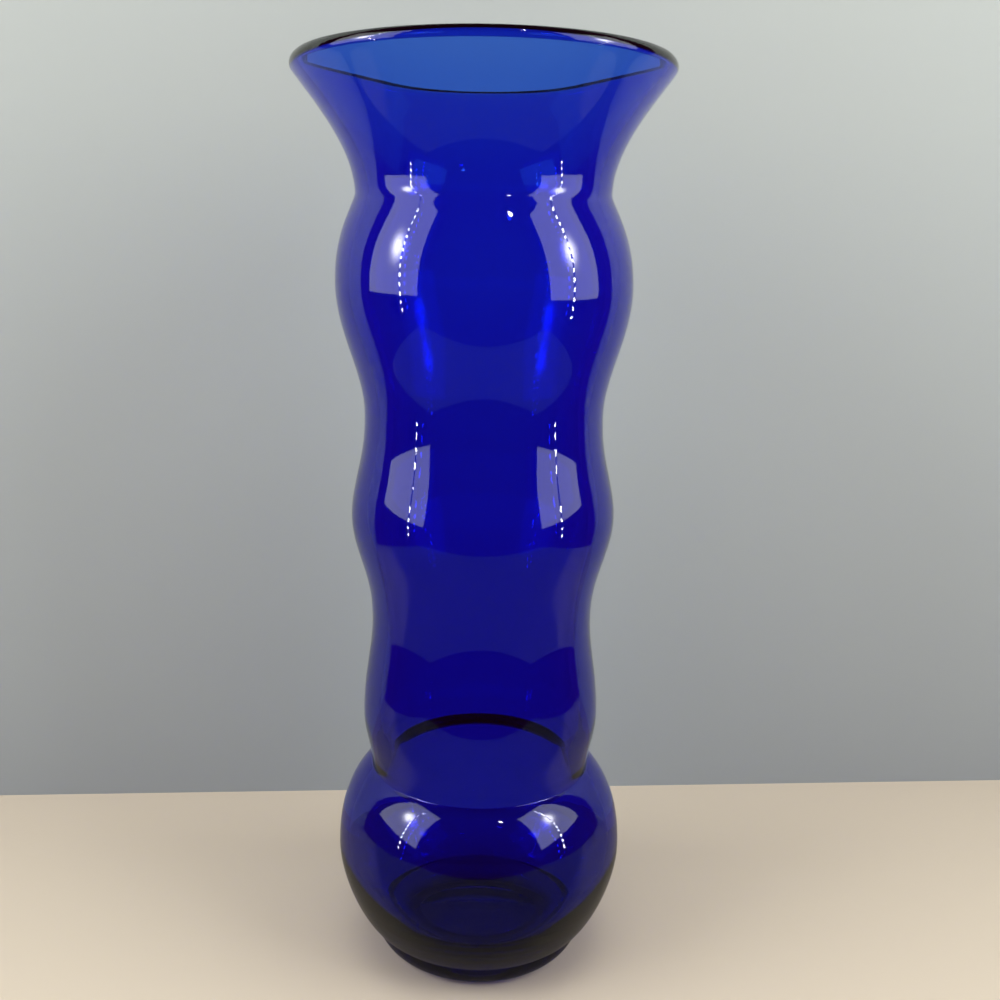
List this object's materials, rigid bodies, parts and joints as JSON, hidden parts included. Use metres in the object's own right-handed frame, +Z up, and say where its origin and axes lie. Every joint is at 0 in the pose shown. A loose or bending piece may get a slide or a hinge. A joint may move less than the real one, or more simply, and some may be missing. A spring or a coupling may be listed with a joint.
{
  "type": "ribbed vase",
  "caption": "Tall blown-glass vase with a globe base, a tight crease above it, a body of soft horizontal swells and a wide flared mouth.",
  "frame": {"origin": "centre of the foot, in the plane of its standing ring", "axes": "+Z up along the vase's axis, from the foot to the mouth; the vase is round, so +X and +Y are free, and +Y points away from the viewer of the picture"},
  "size_m": [0.1208, 0.1208, 0.305],
  "materials": {
    "cobalt_glass": "clear, polished, deep violet blue"
  },
  "bodies": {
    "root": {"vase": "cobalt_glass"}
  },
  "joints": []
}
